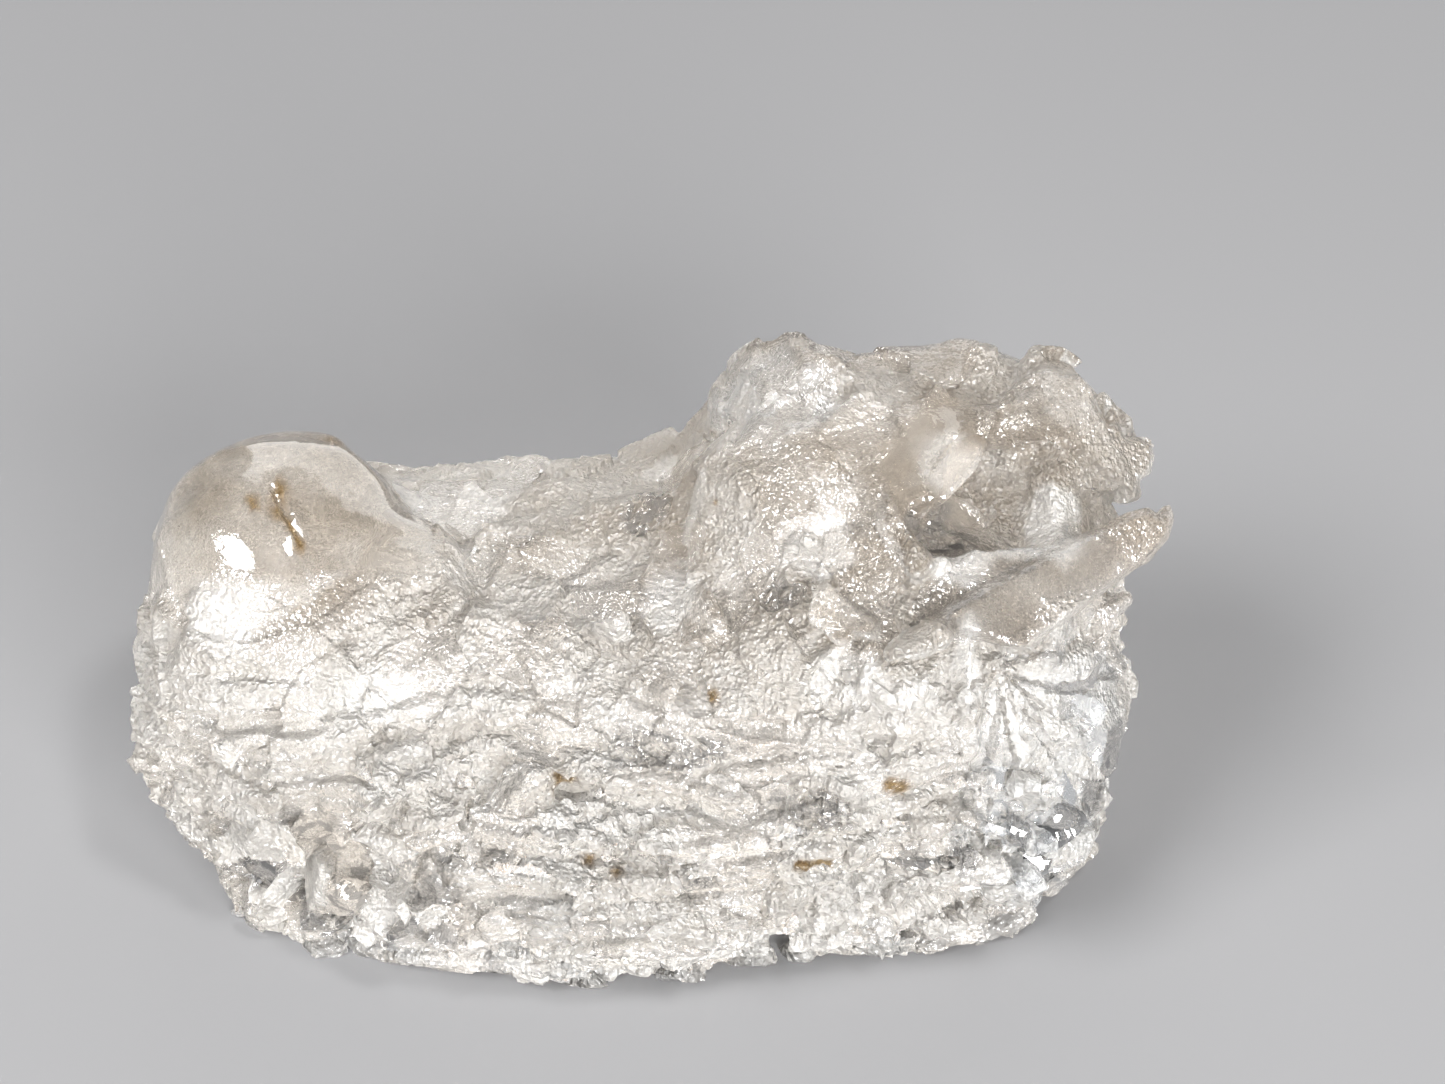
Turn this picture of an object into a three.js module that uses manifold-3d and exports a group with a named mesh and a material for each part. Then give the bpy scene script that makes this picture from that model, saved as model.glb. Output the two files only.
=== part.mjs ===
// A rough goshenite crystal (colourless beryl): one lump, heavily etched, about 31 mm long.
//
// The crystal lies with its long axis along X. Its front, towards -Y, is stepped by level etch
// ledges with toothed edges. A smooth glassy dome stands at the left, a saddle leads from it to
// a taller block at the right, and the upper right corner breaks into thin blades around a
// smooth pocket. Two flat faces of the original hexagonal prism remain at the back, and the
// crystal rests on a flat broken face at Z = 0. Millimetres, +Z up.

import * as THREE from "three";
import { ConvexGeometry } from "three/addons/geometries/ConvexGeometry.js";
import { LoftGeometry } from "three/addons/geometries/LoftGeometry.js";
import { ImprovedNoise } from "three/addons/math/ImprovedNoise.js";
import { mergeVertices } from "three/addons/utils/BufferGeometryUtils.js";
import Module from "manifold-3d";

const wasm = await Module();
wasm.setup();

// ---------------------------------------------------------------- driving dimensions

const LEFT_END = -15.2;
const RIGHT_END = 14.15;
const BLUNTNESS = 5.5; // power of the curve that closes the two ends
const MIDDLE_STATIONS = 24; // evenly spaced sections along X
const END_CLOSINGS = [0.2, 0.42, 0.6, 0.74, 0.86]; // how far the sections at each end have closed

// Each line along the body is a list of [x, value], read as a smooth curve between its points.
const TOP = [
  [-16, 8.0], [-12, 9.2], [-7, 9.3], [-3, 9.9], [0, 10.4], [1.6, 11.2], [2.5, 13.0], [3.3, 14.2],
  [4.4, 14.6], [6, 14.4], [9, 14.6], [11.5, 14.7], [13.2, 14.4], [15, 12.5],
];
const CREST = [[-16, 3.2], [-7, 4.6], [0, 4.9], [9, 5.0], [15, 4.6]];
const SHOULDER_HEIGHT = [
  [-16, 6.6], [-10, 7.2], [-5, 7.6], [0, 9.0], [5, 10.6], [9, 11.6], [12.5, 11.2], [15, 9.2],
];
const FRONT_SHOULDER = [[-16, -3.4], [-12, -4.4], [-6, -4.5], [0, -4.6], [6, -4.4], [12, -3.2], [15, -1.2]];
const BELLY_HEIGHT = [[-16, 2.8], [-5, 3.5], [3, 4.0], [9, 4.8], [15, 4.0]];
const FRONT_BELLY = [
  [-16, -3.0], [-12, -5.2], [-8.6, -6.8], [-4.5, -7.7], [0, -7.9],
  [4.1, -7.3], [8.7, -6.7], [12.1, -5.5], [15, -3.0],
];
const FRONT_FOOT = [
  [-16, 0.0], [-13.2, -1.6], [-12.2, -3.6], [-11.2, -4.9], [-8, -5.7], [-5, -6.4],
  [-1.8, -6.4], [1.3, -6.0], [6, -5.7], [9, -5.4], [12, -4.6], [15, -2.6],
];
const BACK_BELLY = [[-16, 5.4], [-10, 8.2], [0, 9.0], [8, 8.8], [15, 6.8]];
const BACK_FOOT = [[-16, 3.6], [-10, 6.2], [0, 7.4], [8, 7.0], [15, 4.6]];

// Number of section points from each line to the next, once around from the foot at the back.
const SPAN_POINTS = [3, 4, 4, 9, 9, 6, 3];

const LUMPS = [
  { wavelength: 6.5, size: 0.5 },
  { wavelength: 3.0, size: 0.4 },
];

// Rounded parts that the skin swells out over.
const SWELLINGS = [
  { at: [-11.1, 1.9, 8.8], size: [3.9, 4.4, 3.4] }, // dome
  { at: [-10.9, 0.2, 7.4], size: [3.8, 4.4, 3.2] }, // below the dome
  { at: [-7.8, 0.6, 7.4], size: [3.2, 4.0, 2.7] }, // shoulder beside the dome
  { at: [13.1, -0.4, 5.6], size: [1.4, 2.2, 2.2] }, // low at the right end
];

// The skin is broken into flat facets, each nearly level with the skin but tipped at random.
const FACETS = [
  { count: 90, x: [-15.1, 14.0], around: [0.40, 0.68], tip: 0.34, seed: 307 }, // top and upper front
  { count: 34, x: [-14.8, -5.5], around: [0.62, 0.90], tip: 0.5, seed: 311 }, // lower left, mirror flat
  { count: 50, x: [-5.5, 14.0], around: [0.66, 0.92], tip: 0.36, seed: 331 }, // lower right
  { count: 50, x: [-15.0, 14.0], around: [0.02, 0.42], tip: 0.3, seed: 347 }, // back
  { count: 12, x: [13.9, 14.14], around: [0.02, 0.90], tip: 0.4, seed: 359 }, // right end
  { count: 12, x: [-15.19, -15.0], around: [0.02, 0.90], tip: 0.4, seed: 367 }, // left end
];

// ---------------------------------------------------------------- helpers

const noise = new ImprovedNoise();
const degrees = THREE.MathUtils.degToRad;

// Smooth random value from about -1 to 1 that changes over one wavelength.
function wave(point, wavelength, seed) {
  const k = 1 / wavelength;
  return noise.noise(point.x * k + seed * 17.3, point.y * k + seed * 5.1, point.z * k + seed * 9.7);
}

// Random values from 0 to 1, the same row of them for the same seed.
function dice(seed) {
  let state = seed;
  return () => {
    state = (state * 16807) % 2147483647;
    return state / 2147483647;
  };
}

// Value of a line at x, by a curve through its points.
function along(line, x) {
  let i = 0;
  while (i < line.length - 2 && x > line[i + 1][0]) i += 1;
  const before = line[Math.max(i - 1, 0)][1];
  const after = line[Math.min(i + 2, line.length - 1)][1];
  const t = THREE.MathUtils.clamp((x - line[i][0]) / (line[i + 1][0] - line[i][0]), 0, 1);
  const a = line[i][1];
  const b = line[i + 1][1];
  const bend = t * (3 * (a - b) + after - before);
  return a + 0.5 * t * (b - before + t * (2 * before - 5 * a + 4 * b - after + bend));
}

// A closed geometry as a solid that can be joined and cut.
function solid(geometry) {
  const bare = new THREE.BufferGeometry();
  bare.setAttribute("position", geometry.getAttribute("position"));
  bare.setIndex(geometry.getIndex());
  const merged = mergeVertices(bare, 1e-4);
  const mesh = new wasm.Mesh({
    numProp: 3,
    vertProperties: merged.attributes.position.array,
    triVerts: new Uint32Array(merged.index.array),
  });
  return new wasm.Manifold(mesh);
}

function placed(geometry, { at, turn = [0, 0, 0], size = [1, 1, 1] }) {
  const angles = new THREE.Euler(...turn.map(degrees));
  const rotation = new THREE.Quaternion().setFromEuler(angles);
  const matrix = new THREE.Matrix4().compose(new THREE.Vector3(...at), rotation, new THREE.Vector3(...size));
  return geometry.applyMatrix4(matrix);
}

// ---------------------------------------------------------------- body

// The outline of the crystal across X, as a closed curve through the lines along the body.
function outlineAt(x) {
  const top = along(TOP, x);
  const corners = [
    [along(BACK_FOOT, x), -0.5],
    [along(BACK_BELLY, x), 0.4 * top],
    [0.9 * along(BACK_BELLY, x), 0.8 * top],
    [along(CREST, x), top],
    [along(FRONT_SHOULDER, x), along(SHOULDER_HEIGHT, x)],
    [along(FRONT_BELLY, x), along(BELLY_HEIGHT, x)],
    [along(FRONT_FOOT, x), -0.5],
  ];
  return new THREE.CatmullRomCurve3(corners.map(([y, z]) => new THREE.Vector3(x, y, z)), true, "centripetal");
}

// The middle line of the body, which its two ends close towards.
const heartAt = (x) => new THREE.Vector3(x, 0.3, 0.42 * along(TOP, x));

// The smooth skin before it is lumpy or broken, `around` running from 0 to 1 once round a section.
function smoothSkin(x, around) {
  const middle = (LEFT_END + RIGHT_END) / 2;
  const reach = (RIGHT_END - LEFT_END) / 2;
  const share = Math.min(Math.abs((x - middle) / reach), 0.99999);
  const closing = (1 - share ** BLUNTNESS) ** (1 / BLUNTNESS);
  const heart = heartAt(x);
  return outlineAt(x).getPoint((around + 1) % 1).sub(heart).multiplyScalar(closing).add(heart);
}

function swollen(point) {
  return SWELLINGS.reduce((moved, { at, size }) => {
    const middle = new THREE.Vector3(...at);
    const stretch = new THREE.Vector3(...size);
    const local = moved.clone().sub(middle).divide(stretch);
    const reach = local.length();
    return local.multiplyScalar((reach ** 5 + 1) ** 0.2 / reach).multiply(stretch).add(middle);
  }, point);
}

function lumpy(point) {
  const moved = point.clone();
  LUMPS.forEach(({ wavelength, size }, i) => {
    moved.x += 0.6 * size * wave(point, wavelength, i + 1.1);
    moved.y += 0.8 * size * wave(point, wavelength, i + 4.2);
    moved.z += size * wave(point, wavelength, i + 7.3);
  });
  return moved;
}

const skin = (x, around) => lumpy(swollen(smoothSkin(x, around)));

// The plane of each facet, as a point of the skin and the direction it faces.
function facetPlanes({ count, x, around, tip, seed }) {
  const roll = dice(seed);
  const nudge = () => tip * (2 * roll() - 1);
  return Array.from({ length: count }, () => {
    const px = x[0] + (x[1] - x[0]) * roll();
    const pa = around[0] + (around[1] - around[0]) * roll();
    const at = skin(px, pa);
    const alongX = skin(px + 0.6, pa).sub(skin(px - 0.6, pa));
    const onwards = skin(px, pa + 0.02).sub(skin(px, pa - 0.02));
    const facing = alongX.cross(onwards).normalize();
    if (facing.dot(heartAt(px).sub(at)) > 0) facing.negate();
    return { at, facing: facing.add(new THREE.Vector3(nudge(), nudge(), nudge())).normalize() };
  });
}

const PLANES = FACETS.flatMap(facetPlanes);

// Moves a point of the skin most of the way onto the plane of the nearest facet.
function faceted(point) {
  const nearest = PLANES.reduce((best, plane) => {
    return plane.at.distanceToSquared(point) < best.at.distanceToSquared(point) ? plane : best;
  });
  const height = point.clone().sub(nearest.at).dot(nearest.facing);
  return point.clone().addScaledVector(nearest.facing, -0.85 * THREE.MathUtils.clamp(height, -0.7, 0.7));
}

function body() {
  const roll = dice(401);
  const around = SPAN_POINTS.flatMap((count, span) =>
    Array.from({ length: count }, (_, j) => (span + j / count) / SPAN_POINTS.length),
  );
  const ends = END_CLOSINGS.map((closing) => (1 - closing ** BLUNTNESS) ** (1 / BLUNTNESS));
  const last = ends.at(-1);
  const middle = Array.from(
    { length: MIDDLE_STATIONS },
    (_, i) => last * ((2 * (i + 1)) / (MIDDLE_STATIONS + 1) - 1),
  );
  const stations = [...ends.map((share) => -share), ...middle, ...ends.toReversed()];
  const sections = stations.map((share) => {
    const x = (LEFT_END + RIGHT_END) / 2 + (share * (RIGHT_END - LEFT_END)) / 2;
    const loose = Math.abs(share) < last ? 0.5 : 0;
    return around.map((place) => faceted(skin(x + loose * (roll() - 0.5), place + 0.01 * (roll() - 0.5))));
  });
  return solid(new LoftGeometry(sections, { capStart: true, capEnd: true }));
}

// ---------------------------------------------------------------- level etch ledges

const LEDGES = [
  { level: -0.3, thick: 1.2, from: -7.5, to: 11.4, stand: -0.6, slope: 0.0 },
  { level: 0.9, thick: 0.9, from: -9.6, to: 12.4, stand: -0.1, slope: 0.6 },
  { level: 2.0, thick: 1.1, from: -8.6, to: 10.6, stand: 0.1, slope: -0.4 },
  { level: 3.2, thick: 0.8, from: -10.2, to: 13.1, stand: 0.5, slope: 0.5 },
  { level: 4.5, thick: 1.0, from: -7.6, to: 9.6, stand: 0.15, slope: -0.5 },
  { level: 5.8, thick: 0.8, from: -9.4, to: 12.4, stand: 0.5, slope: 0.8 },
  { level: 7.1, thick: 0.8, from: -4.0, to: 9.4, stand: 0.25, slope: 0.6 },
  { level: 8.4, thick: 0.7, from: -0.5, to: 7.6, stand: 0.4, slope: 1.0 },
];
const TOOTH = { narrow: 0.35, wide: 1.05, deep: 0.6 };

// Where the front of the body stands at a height, by stepping up its front lines.
function frontAt(x, height) {
  const steps = [
    [-0.5, along(FRONT_FOOT, x)],
    [along(BELLY_HEIGHT, x), along(FRONT_BELLY, x)],
    [along(SHOULDER_HEIGHT, x), along(FRONT_SHOULDER, x)],
    [along(TOP, x), along(CREST, x)],
  ];
  return along(steps, height);
}

// A level plate whose front edge follows the body and stands out from it in teeth.
function ledge({ level, thick, from, to, stand, slope }, i) {
  const roll = dice(91 + 13 * i);
  const edge = [];
  for (let x = from; x < to; x += TOOTH.narrow + (TOOTH.wide - TOOTH.narrow) * roll()) {
    const fade = Math.min(1, (x - from) / 3, (to - x) / 3); // runs out into the body at its ends
    const here = new THREE.Vector3(x, 3 * i, 0);
    const wander = 0.5 + 0.9 * wave(here, 3.2, 2.5) + 0.6 * wave(here, 1.4, 6.5);
    const tooth = TOOTH.deep * roll() ** 2;
    const reach = 0.3 - fade * (stand + 0.4 * wander + tooth);
    edge.push(new THREE.Vector2(x, frontAt(x, level + thick / 2) + reach));
  }
  const shape = new THREE.Shape([...edge, new THREE.Vector2(to - 2, 0.5), new THREE.Vector2(from + 2, 0.5)]);
  const plate = new THREE.ExtrudeGeometry(shape, { depth: thick, bevelEnabled: false });
  const matrix = new THREE.Matrix4().makeRotationFromEuler(new THREE.Euler(degrees(2.5), degrees(-slope), 0));
  return solid(plate.applyMatrix4(matrix).translate(0, 0, level));
}

// ---------------------------------------------------------------- angular chips and pits

// An irregular flat-faced chip, about `size` from its middle to its corners.
function chip({ at, size, turn, seed, corners = 8 }) {
  const roll = dice(seed);
  const points = Array.from({ length: corners }, (_, i) => {
    const z = 1 - (2 * (i + 0.5)) / corners;
    const angle = i * 2.4 + 1.1 * roll();
    const out = 0.85 + 0.3 * roll();
    const across = Math.sqrt(1 - z * z);
    return new THREE.Vector3(across * Math.cos(angle), across * Math.sin(angle), z).multiplyScalar(out);
  });
  return solid(placed(new ConvexGeometry(points), { at, size, turn }));
}

// Chips scattered over a part of the skin; `sink` is how far their middles lie below it.
const SCATTERS = [
  // top, then upper front
  { count: 9, x: [-6.5, 8], around: [0.42, 0.56], size: [1.2, 2.0], flat: 0.7, sink: 0.6, seed: 11 },
  { count: 11, x: [-12, 9], around: [0.56, 0.66], size: [1.1, 1.8], flat: 0.7, sink: 0.5, seed: 23 },
  // lower left, then the left end and the right end
  { count: 9, x: [-12.4, -6.2], around: [0.72, 0.82], size: [1.2, 1.8], flat: 0.8, sink: 0.6, seed: 37 },
  { count: 6, x: [-14.6, -12.5], around: [0.50, 0.78], size: [0.8, 1.3], flat: 0.8, sink: 0.6, seed: 41 },
  { count: 7, x: [11.2, 13.6], around: [0.50, 0.80], size: [0.9, 1.4], flat: 0.8, sink: 0.6, seed: 61 },
];
const PITS = [
  { count: 8, x: [-7, 5], around: [0.42, 0.62], size: [0.7, 1.2], flat: 0.7, sink: -0.4, seed: 89 },
  { count: 8, x: [-13, 12], around: [0.66, 0.82], size: [0.5, 0.8], flat: 0.8, sink: -0.3, seed: 97 },
  // base
  { count: 7, x: [-12, 12], around: [0.86, 1.12], size: [1.2, 2.4], flat: 0.6, sink: -0.1, seed: 109 },
];

const DOME_CLEAR = { at: [-11.2, 1.2, 11.0], radius: 4.6 }; // the dome and the skin round it stay smooth

function scatter({ count, x, around, size, flat, sink, seed }) {
  const roll = dice(seed);
  const between = ([low, high]) => low + (high - low) * roll();
  const clear = new THREE.Vector3(...DOME_CLEAR.at);
  return Array.from({ length: count }, (_, i) => {
    const [px, pa, radius] = [between(x), between(around), between(size)];
    const turn = [360 * roll(), 360 * roll(), 360 * roll()];
    const point = skin(px, pa);
    const inwards = heartAt(0.8 * px).sub(point).normalize();
    const at = point.clone().addScaledVector(inwards, sink * radius).toArray();
    const sides = [radius, radius * (0.7 + 0.3 * roll()), radius * flat];
    const shape = { at, size: sides, turn, seed: seed + 7 * i };
    return point.distanceTo(clear) > DOME_CLEAR.radius ? chip(shape) : null;
  }).filter(Boolean);
}

// Long flat chips under the ridged blades at the lower right.
const FAN = [
  { at: [11.3, -5.6, 4.6], size: [2.3, 0.6, 0.8], turn: [35, -4, 24], seed: 8 },
  { at: [11.2, -5.4, 2.9], size: [2.2, 0.6, 0.7], turn: [20, 9, 24], seed: 15 },
  { at: [12.3, -4.3, 7.6], size: [1.6, 0.6, 0.8], turn: [0, -30, 28], seed: 21 },
  { at: [9.3, -6.0, 1.4], size: [2.0, 0.6, 0.7], turn: [40, 5, 12], seed: 27 },
  { at: [12.2, -3.6, 1.9], size: [1.2, 0.9, 1.0], turn: [10, 20, 30], seed: 29 },
];

// Small bright blades that stand in a tuft above the broken plate.
const TUFT = [
  { at: [3.6, -1.3, 11.7], size: [0.3, 0.35, 1.3], turn: [20, 18, 0], seed: 31 },
  { at: [4.2, -1.7, 11.8], size: [0.3, 0.4, 1.4], turn: [25, 4, 20], seed: 33 },
  { at: [4.9, -1.6, 11.9], size: [0.3, 0.35, 1.3], turn: [22, -10, 0], seed: 35 },
  { at: [5.4, -2.2, 11.6], size: [0.25, 0.4, 1.1], turn: [28, -22, 10], seed: 39 },
  { at: [-0.9, -2.7, 9.9], size: [0.45, 0.5, 1.2], turn: [28, 8, 0], seed: 43 },
];

// ---------------------------------------------------------------- rounded lumps and hollows

// A stretched, slightly uneven ball that stands out of the body or is cut into it.
function pebble({ at, size, turn, detail = 3, uneven = 0.06 }) {
  const ball = new THREE.IcosahedronGeometry(1, detail);
  const position = ball.getAttribute("position");
  const point = new THREE.Vector3();
  for (let i = 0; i < position.count; i += 1) {
    point.fromBufferAttribute(position, i);
    const reach = 1 + uneven * wave(point, 0.9, at[0]) + 0.6 * uneven * wave(point, 0.4, at[0] + 1);
    position.setXYZ(i, point.x * reach, point.y * reach, point.z * reach);
  }
  return solid(placed(ball, { at, turn, size }));
}

const GLASSY_DOME = {
  at: [-11.2, 1.9, 8.8], size: [4.1, 4.6, 3.8], turn: [0, 2, 0], detail: 4, uneven: 0.05,
};
const LOBES = [
  { at: [-9.6, 4.4, 11.05], size: [0.7, 0.6, 0.8], detail: 2, uneven: 0.2 }, // nub on the dome
  { at: [4.2, 5.2, 11.6], size: [2.3, 2.4, 2.9], detail: 3, uneven: 0.1 }, // tower at the back
  { at: [12.0, 3.9, 13.45], size: [1.25, 1.3, 1.5], detail: 2, uneven: 0.15 }, // knob at the back right
  { at: [-13.4, -1.2, 1.4], size: [1.0, 1.5, 1.0], detail: 2, uneven: 0.2 }, // shelf at the left
];
const HOLLOWS = [
  { at: [10.4, -0.3, 13.4], size: [2.2, 2.3, 1.8], turn: [24, 0, 0], detail: 3, uneven: 0.25 }, // pocket
  { at: [8.6, -2.1, 13.3], size: [1.35, 2.2, 1.0], turn: [-38, 0, 0], detail: 2, uneven: 0.15 }, // its corner
  { at: [-5.0, -1.4, 11.0], size: [1.5, 1.8, 1.1], detail: 2, uneven: 0.2 }, // dip right of the dome
];

// ---------------------------------------------------------------- blades at the upper right

// A blade is told by how far it is across (x), up a plane that leans back from the upright,
// and out of that plane towards the front.
const LEAN = degrees(38);
const UP_BLADE = new THREE.Vector3(0, Math.sin(LEAN), Math.cos(LEAN));
const OUT_OF_BLADE = new THREE.Vector3(0, -Math.cos(LEAN), Math.sin(LEAN));

// A thin plate with the outline [across, up]. Its middle stands out by `out` at the first point
// of the outline, and changes by `lean` for each millimetre across and up from there.
function blade({ outline, out, thick, lean }) {
  const [rootAcross, rootUp] = outline[0];
  const flat = outline.map(([across, up]) => new THREE.Vector2(across - rootAcross, up - rootUp));
  const bevel = 0.3 * thick;
  const plate = new THREE.ExtrudeGeometry(new THREE.Shape(flat), {
    depth: thick - 2 * bevel,
    bevelThickness: bevel,
    bevelSize: 0.5 * bevel,
    bevelOffset: -0.5 * bevel,
    bevelSegments: 1,
  });
  plate.translate(0, 0, bevel - thick / 2);
  plate.applyMatrix4(new THREE.Matrix4().set(1, 0, 0, 0, 0, 1, 0, 0, lean[0], lean[1], 1, 0, 0, 0, 0, 1));
  plate.translate(rootAcross, rootUp, out);
  const basis = new THREE.Matrix4().makeBasis(new THREE.Vector3(1, 0, 0), UP_BLADE, OUT_OF_BLADE);
  return solid(plate.applyMatrix4(basis));
}

const BLADES = [
  {
    // scalloped plate at the corner
    outline: [
      [12.4, 11.0], [12.9, 10.1], [13.8, 10.0], [14.8, 10.2], [14.9, 10.6], [15.25, 10.8],
      [15.4, 11.3], [15.3, 11.7], [14.8, 11.9], [14.5, 11.85], [14.1, 12.4], [13.7, 12.6],
      [13.4, 13.3], [12.8, 13.9], [12.0, 13.8], [11.8, 12.4],
    ],
    out: 6.7, thick: 1.2, lean: [-0.58, -0.2],
  },
  {
    // second plate behind it, seen over its scallops
    outline: [
      [12.0, 12.0], [13.4, 10.8], [14.8, 10.6], [15.3, 11.2],
      [14.9, 11.6], [14.6, 12.4], [13.9, 13.0], [13.0, 13.8],
    ],
    out: 4.6, thick: 1.1, lean: [-0.18, 0],
  },
  {
    // fin whose upper edge is the ridge below the pocket
    outline: [
      [9.1, 6.1], [10.8, 5.6], [12.4, 6.6], [14.0, 7.7], [14.9, 8.3], [15.4, 8.8], [15.6, 9.3], [15.6, 9.7],
      [15.2, 9.5], [14.8, 9.75], [14.2, 9.6], [11.7, 8.5], [8.9, 7.1], [7.4, 6.1], [6.9, 5.4],
    ],
    out: 10.8, thick: 1.5, lean: [-0.45, -0.2],
  },
  {
    // spike below the fin
    outline: [[11.6, 4.9], [13.1, 5.3], [13.8, 6.3], [14.35, 7.15], [13.0, 6.8], [11.9, 6.5]],
    out: 8.2, thick: 0.9, lean: [-0.36, 0],
  },
  {
    // leaf that hangs over the pocket
    outline: [
      [10.3, 12.5], [9.4, 12.3], [9.05, 11.7], [8.5, 11.0], [7.9, 10.2], [7.6, 9.6], [8.0, 9.35], [8.8, 9.9],
      [9.7, 10.8], [10.15, 11.6],
    ],
    out: 7.1, thick: 0.6, lean: [0.07, -0.6],
  },
  {
    // thin wall at the left of the pocket
    outline: [[6.9, 10.3], [7.3, 9.9], [7.6, 9.1], [8.2, 8.0], [8.0, 7.6], [7.2, 8.4], [6.8, 9.3]],
    out: 8.9, thick: 0.9, lean: [0.36, -0.36],
  },
  {
    // broken plate below the wall
    outline: [[5.9, 7.1], [6.8, 6.5], [6.7, 6.0], [5.6, 6.0], [4.8, 6.6], [4.9, 7.3], [5.3, 7.6]],
    out: 10.3, thick: 0.8, lean: [-0.18, -0.36],
  },
  {
    // smooth plates on the middle of the top
    outline: [
      [-3.6, 6.6], [-2.2, 6.4], [-1.7, 5.2], [-2.3, 4.5],
      [-3.6, 4.3], [-4.6, 4.8], [-5.3, 5.9], [-4.8, 6.9],
    ],
    out: 7.3, thick: 0.9, lean: [-0.07, -0.53],
  },
  {
    outline: [[-7.2, 8.4], [-5.9, 8.0], [-5.4, 6.9], [-6.4, 6.0], [-7.8, 6.1], [-8.5, 7.2]],
    out: 5.8, thick: 0.9, lean: [0.2, -0.53],
  },
];

// Ridged blades that radiate below the fin, and three on its face. Each is told by its two ends,
// how wide it is, how far out its ridge stands at each end, and how far it rises from its edges.
const RIDGED_BLADES = [
  { ends: [[10.2, 4.9], [12.9, 6.9]], wide: 0.8, out: [9.6, 8.7], rise: 0.5 },
  { ends: [[10.2, 4.8], [13.2, 4.6]], wide: 0.9, out: [9.6, 8.2], rise: 0.6 },
  { ends: [[10.1, 4.6], [12.6, 3.0]], wide: 0.9, out: [9.8, 8.7], rise: 0.6 },
  { ends: [[10.2, 4.9], [10.6, 6.9]], wide: 0.6, out: [9.7, 10.2], rise: 0.5 },
  { ends: [[8.7, 2.6], [11.4, 3.4]], wide: 0.9, out: [10.2, 9.3], rise: 0.6 },
  { ends: [[8.8, 1.8], [12.2, 1.5]], wide: 0.8, out: [10.3, 9.0], rise: 0.6 },
  { ends: [[9.0, 0.9], [12.0, -0.2]], wide: 0.8, out: [10.1, 8.9], rise: 0.6 },
  { ends: [[8.6, 0.0], [11.6, -1.2]], wide: 0.9, out: [9.9, 8.7], rise: 0.6 },
  { ends: [[11.2, 5.7], [11.9, 7.5]], wide: 0.9, out: [10.0, 9.8], rise: 0.5 },
  { ends: [[12.2, 6.5], [12.7, 8.1]], wide: 0.7, out: [9.5, 9.4], rise: 0.5 },
];

// A blade with a ridge along it: its widest place is a third of the way along.
function ridgedBlade({ ends: [root, tip], wide, out: [outRoot, outTip], rise }) {
  const from = new THREE.Vector3(root[0], root[1], outRoot);
  const along3 = new THREE.Vector3(tip[0], tip[1], outTip).sub(from);
  const across = new THREE.Vector3(-along3.y, along3.x, 0).setLength(wide / 2);
  const belly = from.clone().addScaledVector(along3, 0.35);
  const sunk = new THREE.Vector3(0, 0, -2 * rise);
  const edges = [belly.clone().add(across), belly.clone().sub(across)];
  const lowered = edges.map((p) => p.setZ(p.z - rise));
  const points = [from, from.clone().addScaledVector(along3, 1), belly, ...lowered];
  const corners = [...points, ...points.map((p) => p.clone().add(sunk))];
  const basis = new THREE.Matrix4().makeBasis(new THREE.Vector3(1, 0, 0), UP_BLADE, OUT_OF_BLADE);
  return solid(new ConvexGeometry(corners).applyMatrix4(basis));
}

const NEEDLE = { foot: [9.35, -5.86, 8.26], tip: [9.24, -5.02, 12.1], radius: 0.36 };

function needle({ foot, tip, radius }) {
  const lean = new THREE.Vector3(...tip).sub(new THREE.Vector3(...foot));
  const cone = new THREE.ConeGeometry(radius, lean.length(), 5).translate(0, lean.length() / 2, 0);
  const turn = new THREE.Quaternion().setFromUnitVectors(new THREE.Vector3(0, 1, 0), lean.normalize());
  return solid(cone.applyQuaternion(turn).translate(...foot));
}

// ---------------------------------------------------------------- cuts

const FLAT_FACES = [
  { at: [0, 0, 0], facing: [0, 0, -1] }, // the face it rests on
  { at: [0, 8.3, 7.0], facing: [0.02, 0.951, 0.309] }, // two faces of the hexagonal prism
  { at: [0, 8.3, 3.2], facing: [-0.03, 0.743, -0.669] },
];

// Everything beyond a plane, as a block to cut away.
function beyond({ at, facing }) {
  const block = new THREE.BoxGeometry(60, 60, 60).translate(0, 0, 30);
  const turn = new THREE.Quaternion();
  turn.setFromUnitVectors(new THREE.Vector3(0, 0, 1), new THREE.Vector3(...facing).normalize());
  return solid(block.applyQuaternion(turn).translate(...at));
}

const LIP_HOLE = { at: [4.0, -6.3, 0.9], radius: 0.6, length: 5 }; // behind the lower lip of the front

function lipHole({ at, radius, length }) {
  const drill = new THREE.CylinderGeometry(radius, radius * 1.3, length, 5);
  const turn = new THREE.Quaternion().setFromUnitVectors(new THREE.Vector3(0, 1, 0), OUT_OF_BLADE);
  return solid(drill.applyQuaternion(turn).translate(...at));
}

// ---------------------------------------------------------------- assembly

const joined = (solids) => wasm.Manifold.union(solids);

let crystal = body();
crystal = joined([crystal, ...LEDGES.map(ledge)]);
crystal = joined([crystal, ...SCATTERS.flatMap(scatter), ...[...FAN, ...TUFT].map(chip)]);
crystal = crystal.subtract(joined(PITS.flatMap(scatter)));
crystal = joined([crystal, ...[GLASSY_DOME, ...LOBES].map(pebble)]);
crystal = crystal.subtract(joined(HOLLOWS.map(pebble)));
crystal = joined([crystal, ...BLADES.map(blade), ...RIDGED_BLADES.map(ridgedBlade), needle(NEEDLE)]);
crystal = crystal.subtract(joined(FLAT_FACES.map(beyond)));
crystal = crystal.subtract(lipHole(LIP_HOLE));

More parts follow.
